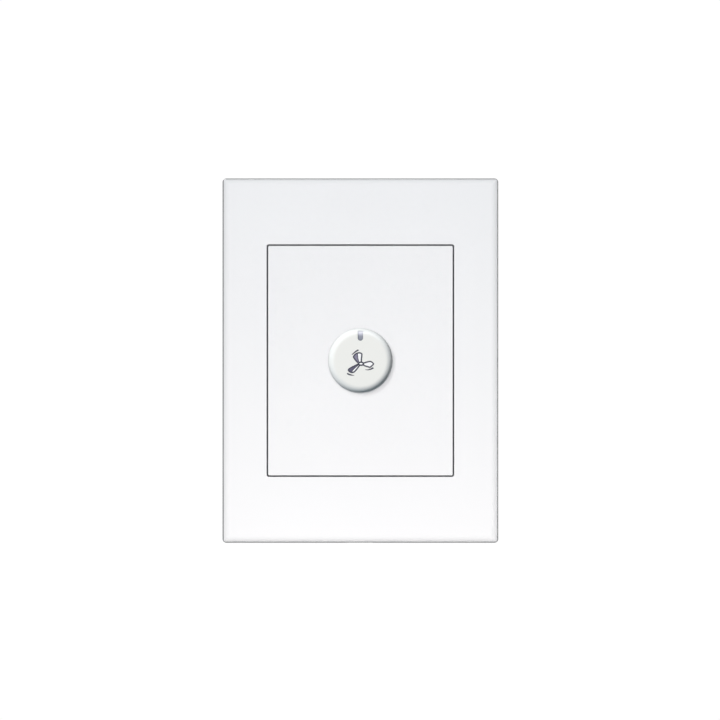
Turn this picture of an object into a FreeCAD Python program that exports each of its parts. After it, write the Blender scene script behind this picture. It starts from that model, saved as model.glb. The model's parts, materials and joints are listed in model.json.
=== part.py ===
import FreeCAD, Part
import math
import os

# Flush-mounted rotary fan speed control: a clipped-on cover plate with a flush
# centre panel and a push-on knob, on a steel mounting frame that screws to a
# wall box, with the electronic control in a moulded housing behind the frame.
#
# Millimetres.  X to the right seen from the front, Z up, Y into the wall.
# y = 0 is the wall surface: the back of the mounting frame and of the plate rim.

V = FreeCAD.Vector
os.makedirs("parts", exist_ok=True)

# ---------------------------------------------------------------- dimensions
PLATE_W, PLATE_H = 88.7, 117.6      # cover plate, outside at its front edge
PLATE_FLARE = 0.66                  # its sides lean out by this much towards the wall
PLATE_D = 10.0                      # wall to front face
PLATE_T = 2.2                       # front wall
PLATE_WALL = 2.0                    # rim wall
PLATE_CORNER_R = 0.6
EDGE_IN, EDGE_DOWN, EDGE_NOSE_R = 1.9, 1.1, 0.5   # soft front edge: width, drop, radius at the side

OPEN_W, OPEN_H, OPEN_R = 60.71, 75.29, 0.75    # opening for the centre panel
LINE_GAP = 0.45                                # dark line round the panel
LIP_T, LIP_W = 0.9, 1.6                        # thin lips on both sides of that line
PANEL_W, PANEL_H = OPEN_W - 2 * LINE_GAP, OPEN_H - 2 * LINE_GAP
PANEL_R, PANEL_T = 0.40, 2.2
PANEL_HOLE_D = 11.2
FACE_Y = -PLATE_D                   # front faces of plate and panel
BACK_Y = FACE_Y + PLATE_T           # their inner faces

KNOB_D, KNOB_EDGE_R = 20.7, 2.15
KNOB_BASE_Y, KNOB_TOP_Y = -10.5, -18.5
KNOB_TURN = 140.0                   # degrees each way from the pointer-up position
POINTER_W, POINTER_LEN, POINTER_DEPTH = 1.7, 3.2, 0.35

FRAME_T = 1.2
FRAME_W, FRAME_H = 72.0, 106.0
FRAME_WING_X, FRAME_WING_H = 39.0, 64.0
FRAME_FLANGE_Y = -6.4
SCREW_PITCH, SCREW_HOLE_D = 83.5, 4.2
FRAME_OPEN_W, FRAME_OPEN_H = 53.0, 61.0

HOUSE_W, HOUSE_H, HOUSE_BACK = 52.0, 60.0, 30.0
HOUSE_WALL = 1.8
BOSS_X, BOSS_Z, BOSS_R = 21.6, 25.6, 3.4
LID_W, LID_H, LID_T = 58.0, 66.0, 3.0
LID_BACK = -FRAME_T
LID_FRONT = LID_BACK - LID_T
LID_POCKET = 1.0
POT_FACE = LID_BACK - LID_POCKET    # the potentiometer's front plate seats here

PCB_Y, PCB_T = 13.0, 1.6
PCB_BACK = PCB_Y + PCB_T
PCB_W, PCB_H = 47.6, 55.6

TERM_X, TERM_Z = 12.0, -22.6        # terminal screw axes
TERM_BORE_R, TERM_BORE_Y = 1.9, 18.7
TERM_BACK = 25.2

SHAFT_R = 3.0


# ---------------------------------------------------------------- helpers
def box(x0, x1, y0, y1, z0, z1):
    return Part.makeBox(x1 - x0, y1 - y0, z1 - z0, V(x0, y0, z0))


def cyl(r, y0, y1, x=0.0, z=0.0):
    """Cylinder along Y."""
    return Part.makeCylinder(r, y1 - y0, V(x, y0, z), V(0, 1, 0))


def cyl_x(r, x0, x1, y, z):
    return Part.makeCylinder(r, x1 - x0, V(x0, y, z), V(1, 0, 0))


def cyl_z(r, z0, z1, x, y):
    return Part.makeCylinder(r, z1 - z0, V(x, y, z0), V(0, 0, 1))


def rrect(w, h, r, y0, y1, cx=0.0, cz=0.0):
    """Rounded rectangle in XZ, extruded along Y."""
    a, b, k = w / 2.0, h / 2.0, r * (1 - math.sqrt(0.5))
    p = lambda x, z: V(cx + x, y0, cz + z)
    e = [
        Part.LineSegment(p(-a + r, -b), p(a - r, -b)),
        Part.Arc(p(a - r, -b), p(a - k, -b + k), p(a, -b + r)),
        Part.LineSegment(p(a, -b + r), p(a, b - r)),
        Part.Arc(p(a, b - r), p(a - k, b - k), p(a - r, b)),
        Part.LineSegment(p(a - r, b), p(-a + r, b)),
        Part.Arc(p(-a + r, b), p(-a + k, b - k), p(-a, b - r)),
        Part.LineSegment(p(-a, b - r), p(-a, -b + r)),
        Part.Arc(p(-a, -b + r), p(-a + k, -b + k), p(-a + r, -b)),
    ]
    return Part.Face(Part.Wire([x.toShape() for x in e])).extrude(V(0, y1 - y0, 0))


def prism(points, along):
    """Polygon of 3-D points, extruded by a vector."""
    pts = [V(*p) for p in points]
    return Part.Face(Part.makePolygon(pts + [pts[0]])).extrude(V(*along))


def revolve(profile):
    """Closed edge list in the XY plane (x = radius), turned about the Y axis."""
    return Part.Face(Part.Wire(profile)).revolve(V(0, 0, 0), V(0, 1, 0), 360)


def seg(a, b):
    return Part.LineSegment(V(a[0], a[1], 0), V(b[0], b[1], 0)).toShape()


def arc(a, m, b):
    return Part.Arc(V(a[0], a[1], 0), V(m[0], m[1], 0), V(b[0], b[1], 0)).toShape()


def join(first, *more):
    s = first
    for m in more:
        s = s.fuse(m)
    return s.removeSplitter()


def cut(s, *tools):
    for t in tools:
        s = s.cut(t)
    return s


def edges_at(shape, test):
    """Edges whose middle point passes the test."""
    found = []
    for e in shape.Edges:
        m = e.valueAt((e.FirstParameter + e.LastParameter) / 2.0)
        if test(m):
            found.append(e)
    return found


def cross_slot(x, z, y0, y1, size, width):
    """Cross recess tool for a screw head."""
    return join(
        box(x - size, x + size, y0, y1, z - width, z + width),
        box(x - width, x + width, y0, y1, z - size, z + size),
    )


pcb_holes = []


def pin(x, z, y0, y1, r=0.45):
    """A soldered pin through the circuit board; the board gets its hole."""
    pcb_holes.append((x, z, r + 0.1))
    return cyl(r, y0, y1, x, z)


nodes = {}

# ---------------------------------------------------------------- cover plate
# front edge in section: a wide arc leaves the face, a tight one turns into the side
EDGE_FACE_R = ((EDGE_IN - EDGE_NOSE_R) ** 2 + EDGE_DOWN ** 2 - EDGE_NOSE_R ** 2) / (
    2 * (EDGE_DOWN - EDGE_NOSE_R)
)
edge_turn = math.atan2(EDGE_IN - EDGE_NOSE_R, EDGE_FACE_R - EDGE_DOWN)


def edge_on_face(t):
    """Point (in from the side, down from the face) on the wide arc."""
    return EDGE_IN - EDGE_FACE_R * math.sin(t), EDGE_FACE_R * (1 - math.cos(t))


def edge_on_nose(t):
    return EDGE_NOSE_R * (1 - math.sin(t)), EDGE_DOWN - EDGE_NOSE_R * math.cos(t)


def edge_arcs(place):
    """The two arcs from the side up to the face; place turns (in, down) into a point."""
    half = (edge_turn + math.pi / 2) / 2
    return [
        Part.Arc(place(0, EDGE_DOWN), place(*edge_on_nose(half)), place(*edge_on_face(edge_turn))).toShape(),
        Part.Arc(
            place(*edge_on_face(edge_turn)), place(*edge_on_face(edge_turn / 2)), place(EDGE_IN, 0)
        ).toShape(),
    ]


def line(p, q):
    return Part.LineSegment(p, q).toShape()


POST_X, POST_Z = PLATE_W / 2 - PLATE_CORNER_R, PLATE_H / 2 - PLATE_CORNER_R


def block_section(half, place):
    """Section of the plate's block from side to side; place turns (across, down) into a point."""
    edges = []
    for at in (lambda i, d: place(half - i, d), lambda i, d: place(i - half, d)):
        edges += edge_arcs(at)
        edges.append(line(at(-PLATE_FLARE, PLATE_D), at(0, EDGE_DOWN)))
    edges.append(line(place(EDGE_IN - half, 0), place(half - EDGE_IN, 0)))
    edges.append(line(place(-half - PLATE_FLARE, PLATE_D), place(half + PLATE_FLARE, PLATE_D)))
    return Part.Face(Part.Wire(Part.__sortEdges__(edges)))


def corner_section(at):
    """The section of the outermost strip, from the corner's centre out to the side."""
    stop = math.asin((EDGE_IN - PLATE_CORNER_R) / EDGE_FACE_R)
    nose, face = edge_arcs(at)
    face = Part.Arc(
        at(*edge_on_face(edge_turn)), at(*edge_on_face((edge_turn + stop) / 2)), at(*edge_on_face(stop))
    ).toShape()
    edges = [
        nose,
        face,
        line(at(*edge_on_face(stop)), at(PLATE_CORNER_R, PLATE_D)),
        line(at(PLATE_CORNER_R, PLATE_D), at(-PLATE_FLARE, PLATE_D)),
        line(at(-PLATE_FLARE, PLATE_D), at(0, EDGE_DOWN)),
    ]
    return Part.Face(Part.Wire(Part.__sortEdges__(edges)))


# the block is two edge-to-edge sections crossed, with small round corners
O, AX, AZ = V(0, 0, 0), V(1, 0, 0), V(0, 0, 1)
far_x, far_z = PLATE_W / 2 + 2, PLATE_H / 2 + 2
plate = block_section(PLATE_W / 2, lambda s, d: V(s, FACE_Y + d, -far_z)).extrude(V(0, 0, 2 * far_z))
plate = plate.common(
    block_section(PLATE_H / 2, lambda s, d: V(-far_x, FACE_Y + d, s)).extrude(V(2 * far_x, 0, 0))
)
square = box(POST_X, far_x, FACE_Y - 1, 1, POST_Z, far_z)
corner = corner_section(lambda i, d: V(PLATE_W / 2 - i, FACE_Y + d, POST_Z)).revolve(
    V(POST_X, 0, POST_Z), V(0, -1, 0), 90
)


def four(s):
    return [s, s.mirror(O, AX), s.mirror(O, AZ), s.mirror(O, AX).mirror(O, AZ)]


plate = cut(plate, *four(square)).fuse(four(corner)).removeSplitter()
plate = plate.cut(
    rrect(PLATE_W - 2 * PLATE_WALL, PLATE_H - 2 * PLATE_WALL, 1.0, BACK_Y, 1)
)
# collar that stiffens the opening, set back behind a thin lip
plate = join(
    plate,
    rrect(OPEN_W + 2 * LIP_W + 2.8, OPEN_H + 2 * LIP_W + 2.8, 2.0, BACK_Y - 0.5, -4.4),
)
plate = plate.cut(rrect(OPEN_W + 2 * LIP_W, OPEN_H + 2 * LIP_W, 1.2, FACE_Y + LIP_T, 1))
plate = plate.cut(rrect(OPEN_W, OPEN_H, OPEN_R, FACE_Y - 1, 1))
plate = plate.makeFillet(
    0.14,
    edges_at(
        plate,
        lambda m: abs(m.y - FACE_Y) < 1e-6
        and abs(m.x) < OPEN_W / 2 + 0.1
        and abs(m.z) < OPEN_H / 2 + 0.1,
    ),
)
# spring legs with lugs that snap into the windows of the frame's flanges
for sx in (-1, 1):
    for cz in (-20.0, 20.0):
        leg = box(
            min(sx * 39.5, sx * 41.0), max(sx * 39.5, sx * 41.0),
            BACK_Y - 0.4, -2.2, cz - 4.5, cz + 4.5,
        )
        lug = prism(
            [
                (sx * 39.6, -4.9, cz - 4.0),
                (sx * 38.1, -4.9, cz - 4.0),
                (sx * 38.1, -4.4, cz - 4.0),
                (sx * 39.6, -3.2, cz - 4.0),
            ],
            (0, 0, 8.0),
        )
        plate = join(plate, leg, lug)
        # root ribs at both ends of the leg
        for dz in (-3.2, 2.2):
            plate = join(
                plate,
                prism(
                    [
                        (sx * 40.9, BACK_Y - 0.3, cz + dz),
                        (sx * 42.9, BACK_Y - 0.3, cz + dz),
                        (sx * 42.9, BACK_Y + 1.8, cz + dz),
                        (sx * 40.9, BACK_Y + 0.9, cz + dz),
                    ],
                    (0, 0, 1.0),
                ),
            )
# stiffening ribs across the top and bottom bands
for sz in (-1, 1):
    for cx in (-26.0, -13.0, 13.0, 26.0):
        z0, z1 = sorted((sz * (OPEN_H / 2 + LIP_W + 0.6), sz * (PLATE_H / 2 - 1.8)))
        plate = join(plate, box(cx - 0.5, cx + 0.5, BACK_Y - 0.3, -5.4, z0, z1))
# screwdriver notch in the bottom rim for taking the plate off
plate = plate.cut(box(-4.0, 4.0, -1.3, 0.5, -PLATE_H / 2 - 1, -PLATE_H / 2 + 3.5))
nodes["cover_plate"] = plate

# ---------------------------------------------------------------- centre panel
panel = rrect(PANEL_W, PANEL_H, PANEL_R, FACE_Y, FACE_Y + LIP_T)
panel = panel.makeFillet(0.14, edges_at(panel, lambda m: abs(m.y - FACE_Y) < 1e-6))
CORE_W, CORE_H = PANEL_W - 2 * LIP_W, PANEL_H - 2 * LIP_W
core = rrect(CORE_W, CORE_H, 0.8, FACE_Y + LIP_T - 0.3, -6.0).cut(
    rrect(CORE_W - 2.6, CORE_H - 2.6, 0.5, BACK_Y, 0)
)
panel = join(panel, core)
ring = cyl(PANEL_HOLE_D / 2 + 1.3, BACK_Y - 0.3, -7.0)
panel = join(panel, ring)
for z in (-24.0, 24.0):
    panel = join(
        panel, box(-CORE_W / 2 + 1, CORE_W / 2 - 1, BACK_Y - 0.3, -6.8, z - 0.5, z + 0.5)
    )
for x in (-14.0, 14.0):
    panel = join(
        panel, box(x - 0.5, x + 0.5, BACK_Y - 0.3, -6.8, -CORE_H / 2 + 1, CORE_H / 2 - 1)
    )
# four legs that reach through the frame and hook behind it
for sx in (-1, 1):
    for sz in (-1, 1):
        x0, x1 = sorted((sx * 14.6, sx * 21.4))
        z0, z1 = sorted((sz * 35.4, sz * 36.7))
        panel = join(panel, box(x0, x1, FACE_Y + LIP_T - 0.3, 1.5, z0, z1))
        panel = join(
            panel,
            prism(
                [
                    (x0, 0.2, sz * 36.6),
                    (x0, 0.2, sz * 37.6),
                    (x0, 0.6, sz * 37.6),
                    (x0, 1.5, sz * 36.6),
                ],
                (x1 - x0, 0, 0),
            ),
        )
panel = panel.cut(cyl(PANEL_HOLE_D / 2, FACE_Y - 1, 0))
nodes["centre_panel"] = panel

# ---------------------------------------------------------------- knob
R = KNOB_D / 2
c45 = math.sqrt(0.5)


def knob_outline(inset):
    """Solid of the knob's outside, taken in by inset all round."""
    r, e = R - inset, KNOB_EDGE_R - inset
    top, base = KNOB_TOP_Y + inset, KNOB_BASE_Y + (0 if inset == 0 else 1)
    cx, cy = r - e, top + e
    return revolve(
        [
            seg((0, base), (0, top)),
            seg((0, top), (cx, top)),
            arc((cx, top), (cx + e * c45, cy - e * c45), (r, cy)),
            seg((r, cy), (r, base - 0.35)),
            seg((r, base - 0.35), (r - 0.35, base)),
            seg((r - 0.35, base), (0, base)),
        ]
    )


knob = knob_outline(0)
knob = knob.cut(cyl(R - 1.8, -16.5, 0))
boss = cyl(4.8, -16.8, -9.0)
ribs = []
for i in range(6):
    rib = box(4.4, R - 1.4, -16.8, -12.4, -0.5, 0.5)
    rib.rotate(V(0, 0, 0), V(0, 1, 0), 30 + 60 * i)
    ribs.append(rib)
knob = join(knob, boss, *ribs)
# D-shaped socket, with room beside the flat for the spring clip
socket = cyl(SHAFT_R + 0.05, -17.4, -8).common(box(-5, 5, -18, -7, -2.05, 5))
lead_in = Part.makeCone(SHAFT_R + 0.05, SHAFT_R + 0.6, 0.55, V(0, -9.55, 0), V(0, 1, 0))
knob = knob.cut(socket).cut(lead_in)
# pointer: a shallow round-ended groove that follows the curve of the rim
pointer_end = R - 0.75
pointer = join(
    box(-POINTER_W / 2, POINTER_W / 2, KNOB_TOP_Y - 1, KNOB_TOP_Y + 3,
        pointer_end - POINTER_LEN + POINTER_W / 2, pointer_end),
    cyl(POINTER_W / 2, KNOB_TOP_Y - 1, KNOB_TOP_Y + 3, 0,
        pointer_end - POINTER_LEN + POINTER_W / 2),
)
knob = knob.cut(pointer.cut(knob_outline(POINTER_DEPTH)))
nodes["control_knob"] = knob

# leaf spring in the knob's socket that grips the flat of the shaft
clip_pts_out = [(-16.6, -2.0), (-13.2, -1.80), (-9.9, -2.0)]
clip_pts_in = [(-16.6, -1.78), (-13.2, -1.56), (-9.9, -1.78)]
clip_face = Part.Face(
    Part.Wire(
        [
            Part.Arc(*[V(-1.8, y, z) for y, z in clip_pts_out]).toShape(),
            Part.LineSegment(V(-1.8, *clip_pts_out[2]), V(-1.8, *clip_pts_in[2])).toShape(),
            Part.Arc(*[V(-1.8, y, z) for y, z in reversed(clip_pts_in)]).toShape(),
            Part.LineSegment(V(-1.8, *clip_pts_in[0]), V(-1.8, *clip_pts_out[0])).toShape(),
        ]
    )
)
nodes["knob_spring_clip"] = clip_face.extrude(V(3.6, 0, 0))

# ---------------------------------------------------------------- mounting frame
frame = rrect(FRAME_W, FRAME_H, 4.0, -FRAME_T, 0)
wing = box(-FRAME_WING_X, FRAME_WING_X, -FRAME_T, 0, -FRAME_WING_H / 2, FRAME_WING_H / 2)
frame = join(frame, wing)
for sx in (-1, 1):
    x0, x1 = sorted((sx * (FRAME_WING_X - FRAME_T), sx * FRAME_WING_X))
    frame = join(
        frame, box(x0, x1, FRAME_FLANGE_Y, 0, -FRAME_WING_H / 2, FRAME_WING_H / 2)
    )
frame = frame.makeFillet(
    1.7,
    edges_at(
        frame, lambda m: abs(abs(m.x) - FRAME_WING_X) < 1e-6 and abs(m.y) < 1e-6
    ),
)
frame = frame.makeFillet(
    0.5,
    edges_at(
        frame,
        lambda m: abs(abs(m.x) - (FRAME_WING_X - FRAME_T)) < 1e-6
        and abs(m.y + FRAME_T) < 1e-6,
    ),
)
frame = cut(
    frame,
    rrect(FRAME_OPEN_W, FRAME_OPEN_H, 2.6, -5, 5),
    cyl(SCREW_HOLE_D / 2, -5, 5, 0, SCREW_PITCH / 2),
    cyl(SCREW_HOLE_D / 2, -5, 5, 0, -SCREW_PITCH / 2),
)
for sx in (-1, 1):
    for cz in (-20.0, 20.0):
        x0, x1 = sorted((sx * 36.5, sx * 40.0))
        frame = frame.cut(box(x0, x1, -5.3, -2.9, cz - 4.8, cz + 4.8))
    for sz in (-1, 1):
        frame = frame.cut(
            rrect(7.8, 2.1, 0.5, -5, 5, sx * 18.0, sz * 36.05)
        )
        # slots for fixing claws and for weight
        frame = frame.cut(rrect(9.0, 3.6, 1.79, -5, 5, sx * 24.0, sz * 46.0))
nodes["mounting_frame"] = frame

# ---------------------------------------------------------------- housing, rear
house = rrect(HOUSE_W, HOUSE_H, 2.4, LID_BACK, HOUSE_BACK)
house = house.makeFillet(
    1.4, edges_at(house, lambda m: abs(m.y - HOUSE_BACK) < 1e-6)
)
IN_W, IN_H = HOUSE_W - 2 * HOUSE_WALL, HOUSE_H - 2 * HOUSE_WALL
IN_BACK = HOUSE_BACK - HOUSE_WALL
house = house.cut(rrect(IN_W, IN_H, 1.0, LID_BACK - 1, IN_BACK))
adds = []
for sx in (-1, 1):
    for sz in (-1, 1):
        adds.append(cyl(BOSS_R, LID_BACK, IN_BACK + 0.4, sx * BOSS_X, sz * BOSS_Z))
    # ledges that carry the circuit board
    x0, x1 = sorted((sx * 22.2, sx * (IN_W / 2 + 0.4)))
    adds.append(box(x0, x1, PCB_BACK, IN_BACK + 0.4, -13.5, -9.5))
    adds.append(box(x0, x1, PCB_BACK, IN_BACK + 0.4, 9.0, 13.0))
    # lugs behind the mounting frame
    x0, x1 = sorted((sx * (HOUSE_W / 2 - 0.4), sx * 31.0))
    adds.append(box(x0, x1, 0.0, 3.0, -9.0, 9.0))
    for z in (-7.5, 6.5):
        adds.append(
            prism(
                [
                    (sx * (HOUSE_W / 2 - 0.4), 2.8, z),
                    (sx * 30.4, 2.8, z),
                    (sx * (HOUSE_W / 2 - 0.4), 8.5, z),
                ],
                (0, 0, 1.0),
            )
        )
# raised bar on the back that keeps the two terminals apart
adds.append(rrect(2.0, 11.0, 0.9, HOUSE_BACK - 0.5, HOUSE_BACK + 1.2, 0, TERM_Z))
house = join(house, *adds)
for sx in (-1, 1):
    for sz in (-1, 1):
        house = house.cut(cyl(1.4, LID_BACK - 1, 11.0, sx * BOSS_X, sz * BOSS_Z))
    # terminal screw access, wire entry with a funnel
    house = house.cut(cyl(3.3, IN_BACK - 0.5, HOUSE_BACK + 2, sx * TERM_X, TERM_Z))
    house = house.cut(cyl_z(2.4, -HOUSE_H / 2 - 1, -IN_H / 2 + 0.5, sx * TERM_X, TERM_BORE_Y))
    house = house.cut(
        Part.makeCone(3.3, 2.4, 0.9, V(sx * TERM_X, TERM_BORE_Y, -HOUSE_H / 2), V(0, 0, 1))
    )
    # vents in the side walls
    for i in range(5):
        x0, x1 = sorted((sx * 20.0, sx * 28.0))
        y = 12.0 + i * 3.2
        house = house.cut(box(x0, x1, y, y + 1.4, -4.0, 6.0))
# vents in the top wall and over the heat sink
for i in range(7):
    x = -10.5 + i * 3.5
    house = house.cut(box(x - 0.7, x + 0.7, 11.0, 25.0, 27.0, 32.0))
for i in range(5):
    z = 3.0 + i * 3.6
    house = house.cut(rrect(16.0, 1.5, 0.74, IN_BACK - 0.5, HOUSE_BACK + 1, 9.0, z))
# shallow blank recess for a label
house = house.cut(rrect(20.0, 15.0, 0.8, HOUSE_BACK - 0.25, HOUSE_BACK + 1, -12.5, 10.2))
# raised wiring marks above the terminals: an arrow in, an arrow out
for sx, way in ((-1, -1), (1, 1)):
    x, z = sx * TERM_X, TERM_Z + 7.4
    y0 = HOUSE_BACK - 0.2
    house = join(
        house,
        prism(
            [
                (x - 0.3, y0, z - 1.7 * way),
                (x + 0.3, y0, z - 1.7 * way),
                (x + 0.3, y0, z + 0.1 * way),
                (x + 1.1, y0, z + 0.1 * way),
                (x, y0, z + 1.7 * way),
                (x - 1.1, y0, z + 0.1 * way),
                (x - 0.3, y0, z + 0.1 * way),
            ],
            (0, 0.5, 0),
        ),
    )
nodes["housing_base"] = house

# ---------------------------------------------------------------- housing, lid
lid = rrect(LID_W, LID_H, 2.6, LID_FRONT, LID_BACK)
lid = lid.makeFillet(0.6, edges_at(lid, lambda m: abs(m.y - LID_FRONT) < 1e-6))
lid = cut(
    lid,
    rrect(34.0, 42.0, 2.0, POT_FACE, 0),
    cyl(3.6, -10, 0),
    box(-1.35, 1.35, POT_FACE - 1.4, 0, 6.7, 8.0),
)
for sx in (-1, 1):
    for sz in (-1, 1):
        lid = cut(
            lid,
            cyl(1.6, -10, 0, sx * BOSS_X, sz * BOSS_Z),
            cyl(3.0, LID_FRONT - 1, LID_FRONT + 1.6, sx * BOSS_X, sz * BOSS_Z),
        )
nodes["housing_lid"] = lid

screws = []
for sx in (-1, 1):
    for sz in (-1, 1):
        x, z = sx * BOSS_X, sz * BOSS_Z
        head_y = LID_FRONT + 1.6
        s = join(
            cyl(2.7, head_y - 1.45, head_y, x, z),
            cyl(1.35, head_y - 0.1, 8.4, x, z),
            Part.makeCone(1.35, 0.3, 1.4, V(x, 8.4, z), V(0, 1, 0)),
        )
        s = s.makeFillet(
            0.5,
            edges_at(s, lambda m: abs(m.y - head_y + 1.45) < 1e-6),
        )
        s = s.cut(cross_slot(x, z, head_y - 2, head_y - 0.45, 1.5, 0.32))
        screws.append(s)
nodes["housing_screws"] = Part.makeCompound(screws)

# ---------------------------------------------------------------- potentiometer
BUSH_R = 3.5
bush = join(
    cyl(8.5, POT_FACE, POT_FACE + 1.0),
    cyl(BUSH_R, POT_FACE - 5.8, POT_FACE + 0.2),
    box(-1.2, 1.2, POT_FACE - 1.2, POT_FACE + 0.2, 6.85, 7.85),
)
bush = bush.makeFillet(
    0.3, edges_at(bush, lambda m: abs(m.y - (POT_FACE - 5.8)) < 1e-6)
)
bush = bush.cut(cyl(SHAFT_R + 0.05, -20, 20))
nodes["pot_bushing"] = bush

washer = cyl(5.2, LID_FRONT - 0.5, LID_FRONT).cut(cyl(3.6, -10, 0))
for i in range(12):
    tooth = box(4.35, 6.0, -10, 0, -0.35, 0.35)
    tooth.rotate(V(0, 0, 0), V(0, 1, 0), 15 + 30 * i)
    washer = washer.cut(tooth)
nodes["pot_lock_washer"] = washer

NUT_Y0, NUT_Y1 = LID_FRONT - 2.5, LID_FRONT - 0.5
hexagon = [
    (5.0 / math.cos(math.pi / 6) * math.cos(math.radians(60 * i)), NUT_Y0,
     5.0 / math.cos(math.pi / 6) * math.sin(math.radians(60 * i)))
    for i in range(6)
]
nut = prism(hexagon, (0, NUT_Y1 - NUT_Y0, 0))
nut = nut.common(
    Part.makeCone(5.15, 6.15, 1.0, V(0, NUT_Y0, 0), V(0, 1, 0)).fuse(
        cyl(6.15, NUT_Y0 + 1.0, NUT_Y1)
    )
)
nut = nut.cut(cyl(BUSH_R + 0.03, -20, 0))
nodes["pot_nut"] = nut.removeSplitter()

SHAFT_FRONT, SHAFT_BACK = -17.3, 4.0
shaft = join(cyl(SHAFT_R, SHAFT_FRONT, SHAFT_BACK), cyl(4.1, POT_FACE + 1.1, POT_FACE + 1.9))
shaft = shaft.makeChamfer(
    0.4, edges_at(shaft, lambda m: abs(m.y - SHAFT_FRONT) < 1e-6)
)
shaft = shaft.cut(box(-5, 5, SHAFT_FRONT - 1, -8.7, -5, -1.5))
nodes["pot_shaft"] = shaft

WAFER_Y0, WAFER_Y1 = POT_FACE + 1.0, POT_FACE + 2.1
wafer = join(
    cyl(7.9, WAFER_Y0, WAFER_Y1),
    box(-7.0, 7.0, WAFER_Y0, WAFER_Y1, -12.4, -4.0),
)
wafer = wafer.cut(cyl(4.4, -5, 5))
for x in (-5.0, 0.0, 5.0):
    wafer = wafer.cut(cyl(0.55, -5, 5, x, -10.6))
nodes["pot_track_wafer"] = wafer

nodes["pot_terminals"] = Part.makeCompound(
    [
        join(
            pin(x, -10.6, WAFER_Y0 + 0.1, PCB_BACK + 0.9, 0.45),
            cyl(0.95, WAFER_Y1 + 0.02, WAFER_Y1 + 0.6, x, -10.6),
        )
        for x in (-5.0, 0.0, 5.0)
    ]
)

CAN_BACK = 5.0
can = cyl(8.5, WAFER_Y0, CAN_BACK).cut(cyl(8.05, WAFER_Y0 - 1, CAN_BACK - 0.45))
# end stop for the rotor
can = join(can, box(-2.9, 2.9, 0.9, CAN_BACK - 0.3, -8.2, -6.9))
can = can.cut(box(-7.4, 7.4, WAFER_Y0 - 1, WAFER_Y1 + 0.15, -9.0, -3.0))
nodes["pot_can"] = can

ROTOR_Y0, ROTOR_Y1 = 1.0, 3.4
rotor = cyl(6.3, ROTOR_Y0, ROTOR_Y1)
rotor = join(rotor, box(-1.2, 1.2, ROTOR_Y0, ROTOR_Y1, 5.0, 7.6))
rotor = rotor.cut(cyl(SHAFT_R + 0.02, -5, 10))
nodes["pot_rotor"] = rotor

wiper = cyl(6.1, ROTOR_Y0 - 0.25, ROTOR_Y0).cut(cyl(4.6, -5, 10))
for ang in (158.0, 172.0, 188.0, 202.0):
    finger = prism(
        [
            (4.9, ROTOR_Y0 - 0.2, -0.3),
            (6.0, ROTOR_Y0 - 0.2, -0.3),
            (5.7, WAFER_Y1 + 0.1, -0.3),
            (5.2, WAFER_Y1 + 0.1, -0.3),
        ],
        (0, 0, 0.6),
    )
    finger.rotate(V(0, 0, 0), V(0, 1, 0), ang + 90)
    wiper = join(wiper, finger)
nodes["pot_wiper"] = wiper

sw = cyl(8.4, CAN_BACK, 11.4)
sw = sw.makeFillet(0.5, edges_at(sw, lambda m: abs(m.y - 11.4) < 1e-6))
sw = join(
    sw,
    pin(-5.0, 3.0, 11.2, PCB_BACK + 0.9, 0.55),
    pin(5.0, 3.0, 11.2, PCB_BACK + 0.9, 0.55),
)
nodes["pot_switch"] = sw

# ---------------------------------------------------------------- terminals
terms, tscrews = [], []
for sx in (-1, 1):
    x = sx * TERM_X
    t = box(x - 4.0, x + 4.0, PCB_BACK, TERM_BACK, -27.6, -17.6)
    t = t.makeFillet(0.5, edges_at(t, lambda m: abs(m.y - TERM_BACK) < 1e-6))
    t = t.cut(cyl_z(TERM_BORE_R, -28.0, -18.8, x, TERM_BORE_Y))
    t = t.cut(cyl(1.75, TERM_BORE_Y, TERM_BACK + 1, x, TERM_Z))
    t = join(
        t,
        pin(x - 2.2, -20.2, PCB_Y - 0.9, PCB_BACK + 0.3, 0.6),
        pin(x + 2.2, -20.2, PCB_Y - 0.9, PCB_BACK + 0.3, 0.6),
        pin(x, -25.6, PCB_Y - 0.9, PCB_BACK + 0.3, 0.6),
    )
    terms.append(t)
    tip, head = TERM_BORE_Y + TERM_BORE_R + 0.15, TERM_BACK + 0.5
    s = join(
        cyl(1.7, tip + 0.4, head + 0.2, x, TERM_Z),
        Part.makeCone(1.2, 1.7, 0.4, V(x, tip, TERM_Z), V(0, 1, 0)),
        cyl(2.85, head, head + 2.1, x, TERM_Z),
    )
    s = s.makeFillet(0.45, edges_at(s, lambda m: abs(m.y - head - 2.1) < 1e-6))
    s = s.cut(box(x - 3.2, x + 3.2, head + 1.0, head + 3, TERM_Z - 0.4, TERM_Z + 0.4))
    s = s.cut(box(x - 0.4, x + 0.4, head + 1.0, head + 3, TERM_Z - 1.7, TERM_Z + 1.7))
    tscrews.append(s)
nodes["terminal_line"], nodes["terminal_fan"] = terms
nodes["terminal_screws"] = Part.makeCompound(tscrews)

# ---------------------------------------------------------------- board parts
# suppression capacitor
cap = box(3.6, 21.6, PCB_BACK + 0.2, 26.6, -8.4, -1.4)
cap = cap.makeFillet(0.7, cap.Edges)
cap = join(
    cap,
    pin(5.1, -4.9, PCB_Y - 1.2, PCB_BACK + 1.0, 0.4),
    pin(20.1, -4.9, PCB_Y - 1.2, PCB_BACK + 1.0, 0.4),
)
nodes["suppression_capacitor"] = cap

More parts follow.
